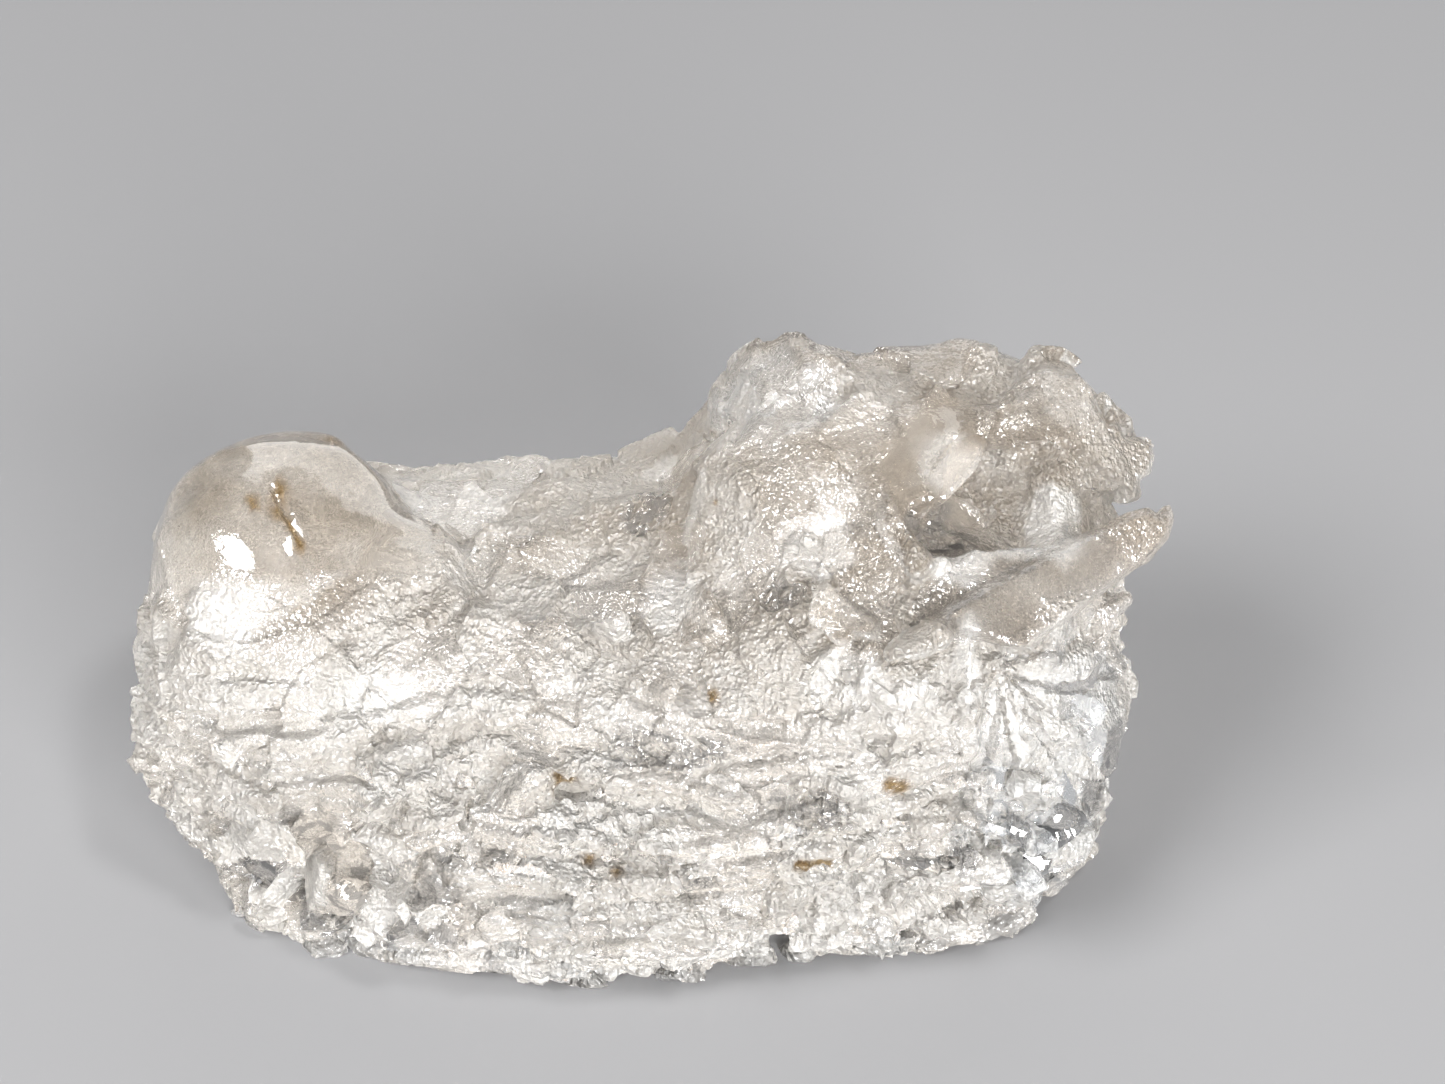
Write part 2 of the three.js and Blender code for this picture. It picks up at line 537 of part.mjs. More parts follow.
// The surface with the largest volume in it: the skin, without any bubble sealed up inside.
function skinOnly({ vertProperties, triVerts }) {
  const owner = Array.from({ length: vertProperties.length / 3 }, (_, i) => i);
  const find = (i) => {
    while (owner[i] !== i) i = owner[i] = owner[owner[i]];
    return i;
  };
  for (let t = 0; t < triVerts.length; t += 3) {
    owner[find(triVerts[t + 1])] = find(triVerts[t]);
    owner[find(triVerts[t + 2])] = find(triVerts[t]);
  }
  const corner = (i) => new THREE.Vector3().fromArray(vertProperties, 3 * i);
  const volumes = new Map();
  for (let t = 0; t < triVerts.length; t += 3) {
    const [a, b, c] = [corner(triVerts[t]), corner(triVerts[t + 1]), corner(triVerts[t + 2])];
    const surface = find(triVerts[t]);
    volumes.set(surface, (volumes.get(surface) ?? 0) + a.dot(b.cross(c)) / 6);
  }
  const [largest] = [...volumes].sort((one, other) => other[1] - one[1])[0];
  const kept = new THREE.BufferGeometry();
  kept.setAttribute("position", new THREE.BufferAttribute(vertProperties, 3));
  kept.setIndex(Array.from(triVerts).filter((_, i) => find(triVerts[i - (i % 3)]) === largest));
  return mergeVertices(kept, 1e-5);
}

const geometry = skinOnly(crystal.getMesh());

// The origin is at the middle of the resting face's level, under the middle of the crystal.
geometry.computeBoundingBox();
const { min, max } = geometry.boundingBox;
geometry.translate(-(min.x + max.x) / 2, -(min.y + max.y) / 2, -min.z);

const material = new THREE.MeshStandardMaterial({ color: 0xe6e1dc, roughness: 0.25, metalness: 0 });
const mesh = new THREE.Mesh(geometry, material);
mesh.name = "goshenite_crystal";

const group = new THREE.Group();
group.add(mesh);
export default group;
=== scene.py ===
# %% [markdown]
# # A rough goshenite crystal
# Goshenite is colourless beryl. This lump is natural: acids in the rock have eaten into it, so
# most of its skin is crinkled like foil, with ledges, small hillocks and broken facets, while a
# dome at one end has stayed smooth and glassy. We start from the crystal's solid, which already
# has the right size and main shapes, and give it the fine skin and the clear, slightly milky
# body that make it look like beryl.

# %% Load the solid
import math

import bmesh
import bpy
import numpy as np
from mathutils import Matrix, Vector, kdtree, noise
from mathutils.bvhtree import BVHTree


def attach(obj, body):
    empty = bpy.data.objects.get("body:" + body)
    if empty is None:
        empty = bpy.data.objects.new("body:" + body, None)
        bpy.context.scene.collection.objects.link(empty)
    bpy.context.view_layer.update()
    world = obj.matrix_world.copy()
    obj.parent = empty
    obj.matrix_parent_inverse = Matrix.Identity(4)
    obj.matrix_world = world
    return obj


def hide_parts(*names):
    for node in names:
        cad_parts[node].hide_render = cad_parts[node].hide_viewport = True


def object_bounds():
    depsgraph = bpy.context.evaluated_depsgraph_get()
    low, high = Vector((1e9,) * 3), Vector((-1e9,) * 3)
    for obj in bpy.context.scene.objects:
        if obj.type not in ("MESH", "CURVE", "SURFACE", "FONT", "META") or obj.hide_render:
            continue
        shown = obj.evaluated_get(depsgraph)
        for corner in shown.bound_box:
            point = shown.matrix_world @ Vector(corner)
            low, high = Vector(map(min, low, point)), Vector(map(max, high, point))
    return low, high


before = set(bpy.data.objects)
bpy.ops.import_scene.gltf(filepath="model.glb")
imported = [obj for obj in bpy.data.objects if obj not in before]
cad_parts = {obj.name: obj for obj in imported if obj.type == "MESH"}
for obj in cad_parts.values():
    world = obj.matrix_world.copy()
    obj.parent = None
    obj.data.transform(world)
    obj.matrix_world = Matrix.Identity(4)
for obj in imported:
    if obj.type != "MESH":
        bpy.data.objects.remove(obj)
SOLID_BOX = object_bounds()
MM = 0.001
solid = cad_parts["goshenite_crystal"]
print("solid:", [round(side / MM, 1) for side in SOLID_BOX[1] - SOLID_BOX[0]], "mm")

# %% [markdown]
# ## Points as numbers
# The skin has about 180,000 points at first, and we will move each of them many times. That is
# slow with Blender's operators and quick with numpy, so these helpers copy the points of a mesh
# into an array, in millimetres, and back again.

# %% Points of a mesh
def points_of(mesh):
    flat = np.empty(len(mesh.vertices) * 3, np.float32)
    mesh.vertices.foreach_get("co", flat)
    return flat.reshape(-1, 3).astype(float) / MM


def normals_of(mesh):
    flat = np.empty(len(mesh.vertices) * 3, np.float32)
    mesh.vertex_normals.foreach_get("vector", flat)
    return flat.reshape(-1, 3).astype(float)


def set_points(mesh, points):
    mesh.vertices.foreach_set("co", (points * MM).astype(np.float32).ravel())
    mesh.update()


def push(mesh, distance):
    """Moves each point along its normal by its own distance in mm."""
    set_points(mesh, points_of(mesh) + normals_of(mesh) * distance[:, None])


def write_values(mesh, name, values):
    attribute = mesh.attributes.get(name) or mesh.attributes.new(name, "FLOAT", "POINT")
    attribute.data.foreach_set("value", values.astype(np.float32))


def read_values(mesh, name):
    values = np.empty(len(mesh.vertices), np.float32)
    mesh.attributes[name].data.foreach_get("value", values)
    return values.astype(float)


# %% Soft steps and slow noise
def smoothstep(values, low, high):
    share = np.clip((values - low) / (high - low), 0, 1)
    return share * share * (3 - 2 * share)


def wobble(points, wavelength, seed):
    """Smooth random numbers from about -1 to 1, one for each point."""
    shift = Vector((seed * 7.3, seed * 3.1, seed * 5.7))
    return np.array([noise.noise(Vector(p) / wavelength + shift) for p in points])


def near(points, places, ragged=0.0):
    """1 inside the named ellipsoids, falling to 0 outside them."""
    inside = np.zeros(len(points))
    for middle, reach in places:
        distance = np.linalg.norm((points - middle) / np.array(reach), axis=1)
        inside = np.maximum(inside, 1 - smoothstep(distance + ragged, 0.75, 1.2))
    return inside


# %% [markdown]
# ## Where the skin is etched
# Etching isn't even. The dome and the pocket at the upper right are smooth, and the two old prism
# faces at the back are only lightly etched. The blades, the fin and the thin tips at the right
# end are crisp. The lower left is broken into bold facets and the lower right into lying plates,
# and small crystals stand in tufts. We name those places as ellipsoids, each a middle and a reach
# in millimetres. Both the shape and the finish ask the same places, so they always agree.

# %% Places on the crystal
DOME = [((-11.0, 2.3, 10.0), (4.5, 4.9, 3.8)), ((-8.4, 0.4, 10.6), (2.5, 2.3, 2.0))]
POCKET = [((8.6, -1.2, 12.4), (2.0, 1.7, 1.4)), ((8.8, 0.4, 13.6), (1.6, 2.2, 1.3))]
FAN = [((12.2, -5.0, 6.4), (3.2, 4.2, 4.4)), ((12.4, -5.5, 3.4), (2.6, 3.0, 2.6))]
FIN = [((12.6, -3.0, 11.4), (3.0, 2.6, 1.8)), ((14.8, -1.2, 12.4), (1.5, 1.7, 1.2))]
PLATE = [((6.0, -3.8, 11.8), (1.6, 1.2, 0.9))]
BEAK = [((15.3, 2.4, 12.3), (1.1, 1.3, 1.1))]
FIN_WALL = [
    ((9.6, -4.5, 12.1), (2.0, 1.3, 1.2)),
    ((12.2, -2.8, 12.7), (2.6, 1.5, 1.3)),
]
NEEDLE = [((9.3, -5.4, 10.2), (0.55, 1.0, 2.2))]
LEAF = [((9.0, 0.0, 13.75), (1.0, 1.5, 0.6))]
BOLD_FACETS = [((-9.2, -6.6, 3.2), (4.6, 3.6, 2.6))]
TUFTS = [  # small white crystals that stand close together
    ((8.1, -5.8, 9.7), (1.9, 1.2, 0.9)),
    ((5.1, -1.9, 12.3), (1.2, 1.3, 1.0)),
    ((6.0, -5.3, 10.0), (1.5, 1.1, 1.1)),
]
PLATES = [((11.4, -6.6, 3.7), (3.0, 2.8, 1.8)), ((8.6, -7.3, 4.8), (2.2, 1.3, 0.8))]
TEETH = [((4.6, -6.6, 6.8), (1.8, 1.6, 0.9))]
BACK_FACE_Y = 7.4  # the prism faces lie behind this


def etching(points):
    """How etched the skin is at each point, from 0 to 1."""
    ragged = 0.3 * wobble(points, 1.6, 3)
    smooth = near(points, DOME + POCKET, ragged)
    behind = smoothstep(points[:, 1] + ragged, BACK_FACE_Y - 0.6, BACK_FACE_Y + 0.4)
    return 1 - np.maximum(smooth, 0.6 * behind)


def hillocky(points):
    """1 where etch hillocks stand: the left end, the back and one patch of teeth in front."""
    left = 1 - smoothstep(points[:, 0], -13.8, -12.4)
    back = smoothstep(points[:, 1], 2.0, 4.0)
    here = np.maximum(np.maximum(left, back), near(points, TEETH))
    return here * etching(points) * (1 - near(points, BOLD_FACETS + FAN + FIN))


# %% A working copy
def merged_copy(source, name):
    """A copy of a node whose loose triangles are joined at their corners."""
    mesh = source.data.copy()
    mesh.name = name
    shell = bmesh.new()
    shell.from_mesh(mesh)
    bmesh.ops.remove_doubles(shell, verts=shell.verts, dist=1e-7)
    shell.to_mesh(mesh)
    shell.free()
    mesh.materials.clear()
    copy = bpy.data.objects.new(name, mesh)
    bpy.context.scene.collection.objects.link(copy)
    return copy


def add_shoulder(mesh, middle, reach):
    """A smooth swelling that fills the crease where the dome meets the body."""
    shell = bmesh.new()
    shell.from_mesh(mesh)
    made = bmesh.ops.create_icosphere(shell, subdivisions=4, radius=1)
    for vert in made["verts"]:
        vert.co = Vector([(m + r * c) * MM for m, r, c in zip(middle, reach, vert.co)])
    shell.to_mesh(mesh)
    shell.free()


crystal = merged_copy(solid, "goshenite_crystal_etched")
add_shoulder(crystal.data, middle=(-8.2, 0.4, 9.3), reach=(2.9, 2.4, 1.8))
write_values(crystal.data, "hillocky", hillocky(points_of(crystal.data)))
print("copy:", len(crystal.data.vertices), "corners")

# %% [markdown]
# ## Clear beryl
# The finish is one Principled BSDF whose transmission is plain, with beryl's IOR of 1.58, and a
# little volume absorption warms the thick parts. Everything else follows numbers that the skin
# carries:
# - "haze" is how finely etched a point is, and makes it rough;
# - "frost_and_highlight" is where the crystal is cloudy inside, and frosts it with a white coat;
#   in a few places this white also stands for a painted highlight;
# - "cool" and "iron" are where the light is bluish and where rust has settled;
# - "shade_and_brown" is painted shade, brownish, on the tops and where we look far into the
#   crystal, and a real brown tone on some facets;
# - "painted_dark" is painted dark grey shade where the crystal is clearest;
# - "layered" is where thin growth layers show.
#
# A helper that adds a node and fills its inputs keeps the trees short.

# %% A helper for nodes
def add(tree, kind, inputs=None, **settings):
    """Adds a node. Each input takes a plain value, or the output of another node."""
    node = tree.nodes.new(kind)
    for name, value in settings.items():
        setattr(node, name, value)
    for name, value in (inputs or {}).items():
        if isinstance(value, bpy.types.NodeSocket):
            tree.links.new(value, node.inputs[name])
        else:
            node.inputs[name].default_value = value
    return node


def skin_value(tree, name):
    return add(tree, "ShaderNodeAttribute", attribute_name=name).outputs["Fac"]


def fade(tree, value, start, end, low=0.0, high=1.0):
    ends = {"Value": value, "From Min": low, "From Max": high, "To Min": start, "To Max": end}
    return add(tree, "ShaderNodeMapRange", ends).outputs["Result"]


def maths(tree, operation, one, other):
    return add(tree, "ShaderNodeMath", {0: one, 1: other}, operation=operation).outputs[0]


def blend(tree, share, one, other):
    colours = {"Factor": share, "A": one, "B": other}
    return add(tree, "ShaderNodeMix", colours, data_type="RGBA").outputs["Result"]


# %% [markdown]
# The colour is nearly white. A cloudy noise, stronger where the skin is etched, makes milky and
# clear patches, and some white places are painted highlights. Cool places are a little blue.
# Painted shade makes the tops and the places we look deep into brownish, and the clearest places
# dark grey. Rust is brown.

# %% Colour of the crystal
FROST_AND_HIGHLIGHT_WHITE = (0.99, 0.968, 0.935, 1)
COOL = (0.78, 0.805, 0.83, 1)
CLEAR = (0.80, 0.76, 0.71, 1)
BROWN_SHADE_AND_TONE = (0.40, 0.345, 0.285, 1)
SHADE_GREY = (0.2, 0.2, 0.203, 1)
RUST = (0.26, 0.155, 0.05, 1)


def crystal_colour(tree, place):
    clouds = {"Vector": place, "Scale": 0.55 / MM, "Detail": 3.0, "Roughness": 0.6}
    cloud = add(tree, "ShaderNodeTexNoise", clouds).outputs["Fac"]
    cloud = fade(tree, cloud, 0.1, 1.0, 0.4, 0.6)
    haze = fade(tree, skin_value(tree, "haze"), 0.35, 1.0, 0.0, 0.8)
    white = maths(tree, "MAXIMUM", maths(tree, "MULTIPLY", cloud, haze), skin_value(tree, "frost_and_highlight"))
    body = blend(tree, white, blend(tree, skin_value(tree, "cool"), CLEAR, COOL), FROST_AND_HIGHLIGHT_WHITE)
    # Painted shade: brown on the tops and deep places, dark grey where the crystal is clearest.
    body = blend(tree, skin_value(tree, "shade_and_brown"), body, BROWN_SHADE_AND_TONE)
    body = blend(tree, skin_value(tree, "painted_dark"), body, SHADE_GREY)
    return blend(tree, skin_value(tree, "iron"), body, RUST)


# %% [markdown]
# The finest pits are too small to model, so they are bump. Real etch pits have flat sides, and
# the cells of a Voronoi texture with Manhattan distance do too. Faint streaks, which show most on
# the glassy dome, are noise stretched along one direction, and growth layers are nearly level
# bands.

# %% Fine pits and streaks
STREAK_HEIGHT = 0.035  # beside etch pits about 1 high
PIT_DEPTH = 0.16 * MM


def pits(tree, place, per_mm, turn):
    lattice = add(tree, "ShaderNodeMapping", {"Vector": place, "Rotation": turn}).outputs["Vector"]
    cells = {"Vector": lattice, "Scale": per_mm / MM}
    return add(tree, "ShaderNodeTexVoronoi", cells, distance="MANHATTAN").outputs["Distance"]


def layers(tree, place):
    """Thin growth layers, seen as fine steps that run nearly level."""
    tilt = {"Vector": place, "Rotation": (0.0, 0.09, 0.0), "Scale": (0.4, 0.6, 1.0)}
    level = add(tree, "ShaderNodeMapping", tilt).outputs["Vector"]
    bands = {"Vector": level, "Scale": 0.75 / MM, "Distortion": 1.2}
    bands |= {"Detail": 1.0, "Detail Scale": 0.6}
    look = {"wave_type": "BANDS", "bands_direction": "Z", "wave_profile": "SAW"}
    return add(tree, "ShaderNodeTexWave", bands, **look).outputs["Fac"]


def streaks(tree, place):
    turned = {"Vector": place, "Rotation": (0.9, 0.3, -0.6), "Scale": (1.0, 0.12, 1.0)}
    along = add(tree, "ShaderNodeMapping", turned).outputs["Vector"]
    lines = {"Vector": along, "Scale": 2.2 / MM, "Detail": 1.0}
    return add(tree, "ShaderNodeTexNoise", lines).outputs["Fac"]


def fine_relief(tree, place):
    small = maths(tree, "MULTIPLY", pits(tree, place, 7.0, (0.6, -0.2, 0.9)), 0.6)
    height = maths(tree, "ADD", pits(tree, place, 2.3, (0.3, 0.5, 0.2)), small)
    etched = maths(tree, "MULTIPLY", height, fade(tree, skin_value(tree, "haze"), 0.01, 1.0))
    steps = maths(tree, "MULTIPLY", layers(tree, place), skin_value(tree, "layered"))
    lines = maths(tree, "ADD", maths(tree, "MULTIPLY", streaks(tree, place), STREAK_HEIGHT), steps)
    bump = {"Height": maths(tree, "ADD", etched, lines), "Distance": PIT_DEPTH, "Strength": 0.8}
    return add(tree, "ShaderNodeBump", bump).outputs["Normal"]


# %% The material
BERYL_IOR = 1.58
TRANSMISSION = 0.86
FROST = 0.38  # weight of the coat where the crystal is milky
WARM = (0.90, 0.86, 0.80, 1)
ABSORPTION = 40  # per metre, so a centimetre of crystal takes only a little


def clear_beryl():
    material = bpy.data.materials.new("etched_beryl")
    material.use_nodes = True
    tree = material.node_tree
    tree.nodes.clear()
    place = add(tree, "ShaderNodeTexCoord").outputs["Object"]
    skin_look = {
        "Base Color": crystal_colour(tree, place),
        "Roughness": fade(tree, skin_value(tree, "haze"), 0.03, 0.36),
        "Normal": fine_relief(tree, place),
        "Coat Weight": maths(tree, "MULTIPLY", skin_value(tree, "frost_and_highlight"), FROST),
        "Coat Roughness": 0.5,
        "Coat IOR": 1.9,
        "Transmission Weight": TRANSMISSION,
        "IOR": BERYL_IOR,
    }
    glass = add(tree, "ShaderNodeBsdfPrincipled", skin_look)
    depth = add(tree, "ShaderNodeVolumeAbsorption", {"Color": WARM, "Density": ABSORPTION})
    ends = {"Surface": glass.outputs[0], "Volume": depth.outputs[0]}
    add(tree, "ShaderNodeOutputMaterial", ends)
    return material


CLEAR_BERYL = clear_beryl()
print("finish:", CLEAR_BERYL.name, "with", len(CLEAR_BERYL.node_tree.nodes), "nodes")

# %% [markdown]
# ## Etch hillocks
# Acid leaves six-sided hillocks on beryl, because the crystal itself is six-sided. There are
# about two hundred, so Geometry Nodes scatter them: points on the etched skin, a low six-sided
# cone on each, turned to face outwards.

# %% Hillock tree
def new_tree(name, **inputs):
    tree = bpy.data.node_groups.new(name, "GeometryNodeTree")
    tree.interface.new_socket("Geometry", in_out="INPUT", socket_type="NodeSocketGeometry")
    for socket, kind in inputs.items():
        tree.interface.new_socket(socket, in_out="INPUT", socket_type=f"NodeSocket{kind}")
    tree.interface.new_socket("Geometry", in_out="OUTPUT", socket_type="NodeSocketGeometry")
    return tree


def hillock_spots(tree, given):
    etched = add(tree, "GeometryNodeInputNamedAttribute", {"Name": "hillocky"})
    enough = add(tree, "FunctionNodeCompare", {"A": etched.outputs["Attribute"], "B": 0.7})
    scatter = {
        "Mesh": given["Geometry"],
        "Selection": enough.outputs["Result"],
        "Distance Min": given["Spacing"],
        "Density Max": 4e6,  # per square metre, so the spacing decides
        "Seed": given["Seed"],
    }
    return add(tree, "GeometryNodeDistributePointsOnFaces", scatter, distribute_method="POISSON")


def hillock_tree():
    sizes = {"Spacing": "Float", "Radius": "Float", "Height": "Float"}
    tree = new_tree("etch hillocks", **sizes, Seed="Int", Finish="Material")
    given = add(tree, "NodeGroupInput").outputs
    spots = hillock_spots(tree, given)
    sides = {"Vertices": 6, "Radius Bottom": given["Radius"], "Depth": given["Height"]}
    cone = add(tree, "GeometryNodeMeshCone", sides).outputs["Mesh"]
    sunk = add(tree, "GeometryNodeTransform", {"Geometry": cone, "Translation": (0, 0, -0.15 * MM)})
    size = add(tree, "FunctionNodeRandomValue", {2: 0.5, 3: 1.5}).outputs[1]
    stand = {"Points": spots.outputs["Points"], "Rotation": spots.outputs["Rotation"]}
    stand |= {"Instance": sunk.outputs["Geometry"], "Scale": size}
    cones = add(tree, "GeometryNodeInstanceOnPoints", stand).outputs["Instances"]
    real = add(tree, "GeometryNodeRealizeInstances", {"Geometry": cones}).outputs["Geometry"]
    join = add(tree, "GeometryNodeJoinGeometry", {"Geometry": given["Geometry"]})
    tree.links.new(real, join.inputs["Geometry"])
    coat = {"Geometry": join.outputs["Geometry"], "Material": given["Finish"]}
    coat = add(tree, "GeometryNodeSetMaterial", coat).outputs["Geometry"]
    add(tree, "NodeGroupOutput", {"Geometry": coat})
    return tree


# %% Hillocks on the crystal
def baked(piece, modifier):
    """Keeps what a modifier makes as the piece's own plain mesh."""
    depsgraph = bpy.context.evaluated_depsgraph_get()
    made = bpy.data.meshes.new_from_object(piece.evaluated_get(depsgraph))
    piece.modifiers.remove(modifier)
    piece.data = made


def apply_tree(piece, tree, **values):
    """Runs a tree on a piece with its inputs set by name."""
    modifier = piece.modifiers.new(tree.name, "NODES")
    modifier.node_group = tree
    for socket in tree.interface.items_tree:
        if socket.in_out == "INPUT" and socket.name in values:
            modifier[socket.identifier] = values[socket.name]
    baked(piece, modifier)


sizes = {"Spacing": 1.3 * MM, "Radius": 0.5 * MM, "Height": 0.28 * MM}
apply_tree(crystal, hillock_tree(), **sizes, Seed=4, Finish=CLEAR_BERYL)
print("with hillocks:", len(crystal.data.polygons), "faces")

# %% [markdown]
# ## One closed skin
# The hillocks still sit in the solid as separate cones. A voxel remesh melts everything into
# one closed skin of small, even quads, which the next steps need to carve. It also rounds
# corners, so each point is put back on the exact surface. The dome has to be smooth, and there
# each point is drawn towards the middle of its neighbours until the solid's faces are gone. Then
# low, slow waves keep it from looking turned on a lathe.

# %% Remesh
VOXEL = 0.115 * MM
DOME_ROUNDS = 110  # of smoothing


def remesh(piece, voxel):
    modifier = piece.modifiers.new("one skin", "REMESH")
    modifier.mode = "VOXEL"
    modifier.voxel_size = voxel
    modifier.adaptivity = 0
    baked(piece, modifier)


def surface_of(piece):
    return BVHTree.FromObject(piece, bpy.context.evaluated_depsgraph_get())


def lay_on(mesh, surface, reach):
    """Puts each point back on the exact surface it was remeshed from, if that is near."""
    points = points_of(mesh)
    for i, point in enumerate(points):
        spot = surface.find_nearest(Vector(point) * MM, reach)[0]
        if spot:
            points[i] = np.array(spot) / MM
    set_points(mesh, points)


def even_out(mesh, share, rounds):
    """Draws each point towards the middle of its neighbours, by its own share."""
    points = points_of(mesh)
    ends = np.empty(len(mesh.edges) * 2, np.int32)
    mesh.edges.foreach_get("vertices", ends)
    one, two = ends.reshape(-1, 2).T
    here, there = np.concatenate([one, two]), np.concatenate([two, one])
    count = np.bincount(here, minlength=len(points))
    for _ in range(rounds):
        sums = [np.bincount(here, points[there, axis], len(points)) for axis in range(3)]
        points += share[:, None] * (np.stack(sums, 1) / count[:, None] - points)
    set_points(mesh, points)


exact = surface_of(crystal)
remesh(crystal, VOXEL)
skin = crystal.data
lay_on(skin, exact, VOXEL)
dome = near(points_of(skin), DOME)
even_out(skin, 0.6 * dome, DOME_ROUNDS)
swell, ripple = wobble(points_of(skin), 1.7, 41), wobble(points_of(skin), 0.7, 42)
push(skin, dome * (0.10 * swell + 0.035 * ripple))
even_out(skin, 0.5 * etching(points_of(skin)), 1)
print("skin:", len(skin.polygons), "quads")

# %% [markdown]
# ## Facets
# A crystal breaks and dissolves along flat planes. To get them, we scatter seeds over the skin,
# give each a plane that faces nearly outwards, and move every point onto the plane of the seed
# nearest to it. The dome gets a few faint facets, which are smoothed again. The lower left gets
# bold ones, the blades long ones that spread like a fan, the lower right low wide ones, and the
# tufts small upright ones. Large cells give broad quiet faces on the rest of the etched skin.
# Each facet also draws a number for its own look, which the finish reads later.

# %% Facets
def as_is(points):
    return points


def upright(points):
    """Squeezes the height, so that cells come out twice as tall as wide."""
    return points * (1, 1, 0.5)


def lying(points):
    """Stretches the height, so that cells come out wide and low."""
    return points * (0.6, 0.6, 1.7)


def facet(mesh, cell, tip, limit, strength, seed, layout=as_is):
    """Moves the points onto tipped planes, one for each random cell of about `cell` mm."""
    points, normals = points_of(mesh), normals_of(mesh)
    rolls = np.random.default_rng(seed).random((len(points), 5))
    area = sum(polygon.area for polygon in mesh.polygons) / MM**2
    count = int(area / cell**2)
    chosen = np.argsort(rolls[:, 0])[:count]
    laid = layout(points)
    tree = kdtree.KDTree(count)
    for place, i in enumerate(chosen):
        tree.insert(laid[i], place)
    tree.balance()
    nearest = np.array([tree.find(p)[1] for p in laid])
    facing = normals[chosen] + tip * (2 * rolls[chosen, 1:4] - 1)
    facing /= np.linalg.norm(facing, axis=1)[:, None]
    towards = points[chosen][nearest] - points
    lean = np.einsum("ij,ij->i", normals, facing[nearest])
    step = np.einsum("ij,ij->i", towards, facing[nearest]) / np.maximum(lean, 0.5)
    step = np.clip(step, -limit, limit) * strength
    set_points(mesh, points + normals * step[:, None])
    return rolls[chosen, 4][nearest]  # one number for each facet, for its own look


FAN_HEART = (10.3, 9.9)  # x and z of the point that the blades at the right spread from


def fan(points):
    """Angle, radius and depth about the heart of the fan, so that cells come out long and thin."""
    x, z = points[:, 0] - FAN_HEART[0], points[:, 2] - FAN_HEART[1]
    return np.stack((6 * np.arctan2(z, x), 0.28 * np.hypot(x, z), 0.4 * points[:, 1]), 1)


start = points_of(skin)
etched = etching(start)
crisp = near(start, FAN + FIN + FIN_WALL + NEEDLE + LEAF + PLATE + BEAK)
foot = 1 - smoothstep(start[:, 2], 0.9, 2.2)
bold = near(start, BOLD_FACETS) * (1 - 0.6 * foot)
dome = near(start, DOME)
facet(skin, cell=2.2, tip=0.2, limit=0.2, strength=0.5 * dome, seed=13)
even_out(skin, 0.6 * dome, 20)
bold_look = facet(skin, cell=0.95, tip=0.95, limit=0.5, strength=bold, seed=16)
plates = near(start, PLATES)
fan_here = near(start, FAN) * (1 - near(start, FIN + FIN_WALL + NEEDLE)) * (1 - plates)
fan_look = facet(skin, cell=1.2, tip=0.5, limit=0.35, strength=0.8 * fan_here, seed=9, layout=fan)
plate_look = facet(skin, cell=0.8, tip=0.8, limit=0.35, strength=plates, seed=14, layout=lying)
tufts = near(start, TUFTS)
tuft_look = facet(skin, cell=0.7, tip=0.6, limit=0.16, strength=tufts, seed=15, layout=upright)
strongest = np.argmax([bold, fan_here, plates, tufts], axis=0)
looks = np.choose(strongest, [bold_look, fan_look, plate_look, tuft_look])
write_values(skin, "look", looks)
quiet = etched * (1 - bold) * (1 - crisp) * (1 - tufts) * (1 - plates)
facet(skin, cell=1.5, tip=0.25, limit=0.25, strength=0.8 * quiet, seed=7)
print("facets on", int(np.count_nonzero(etched > 0.5)), "points")

# %% [markdown]
# ## Growth ledges
# Beryl grows and dissolves in thin layers, so the lower front steps down in ledges: a narrow
# flat top, then a riser. A saw-tooth of the height gives that profile, slow noise lets the
# layers wander, and narrow upright flutes cut the risers into teeth.

# %% Ledges
LEDGE = 1.3  # mm from one ledge to the next
LEDGE_OUT = 0.46
FINE_LEDGE = 0.43
FINE_LEDGE_OUT = 0.14
LEDGE_SLOPE = 0.09  # they climb a little to the right


def saw(height, step):
    share = np.mod(height / step, 1)
    return np.where(share < 0.8, share / 0.8, (1 - share) / 0.2) - 0.5


def layered(points, normals):
    """1 on the lower front, where the layers show."""
    low = 1 - smoothstep(points[:, 2] + wobble(points, 2.5, 13), 7.5, 9.5)
    return smoothstep(-normals[:, 1], 0.0, 0.5) * low


def ledges(mesh, here):
    points, normals = points_of(mesh), normals_of(mesh)
    wander = 0.7 * wobble(points * (1, 0.4, 0.4), 6.0, 11) + 0.22 * wobble(points, 1.6, 15)
    height = points[:, 2] + wander - LEDGE_SLOPE * points[:, 0]
    flutes = np.abs(wobble(points * (1, 1, 0.3), 0.6, 12))
    coarse, fine = saw(height, LEDGE), saw(height, FINE_LEDGE)
    out = LEDGE_OUT * coarse + FINE_LEDGE_OUT * fine - 0.2 * flutes * (coarse + 0.5)
    push(mesh, here * layered(points, normals) * out)


kept = (1 - 0.95 * bold) * (1 - crisp) * (1 - 0.9 * tufts) * (1 - 0.7 * plates)
ledges(skin, etched * kept)
print("ledges every", LEDGE, "mm, with finer ones every", FINE_LEDGE, "mm")

# %% [markdown]
# ## Crinkle
# Between the ledges the skin looks like crumpled foil: small flat chips and sharp little ridges,
# strong in some patches and faint in others. Noise folded at zero gives the ridges, and two
# sizes of small facets give the chips.

# %% Crinkle
def patches(points):
    """1 where the etching is strong, 0 where it is faint."""
    return smoothstep(wobble(points * (0.8, 1, 1.2), 2.2, 21), -0.25, 0.12)


def crinkle(mesh, strength, patchy):
    points = points_of(mesh)
    coarse = 0.35 - np.abs(wobble(upright(points), 1.0, 22))
    fine = 0.35 - np.abs(wobble(upright(points), 0.36, 23))
    push(mesh, strength * (0.04 + 0.96 * patchy) * (0.09 * coarse + 0.07 * fine))


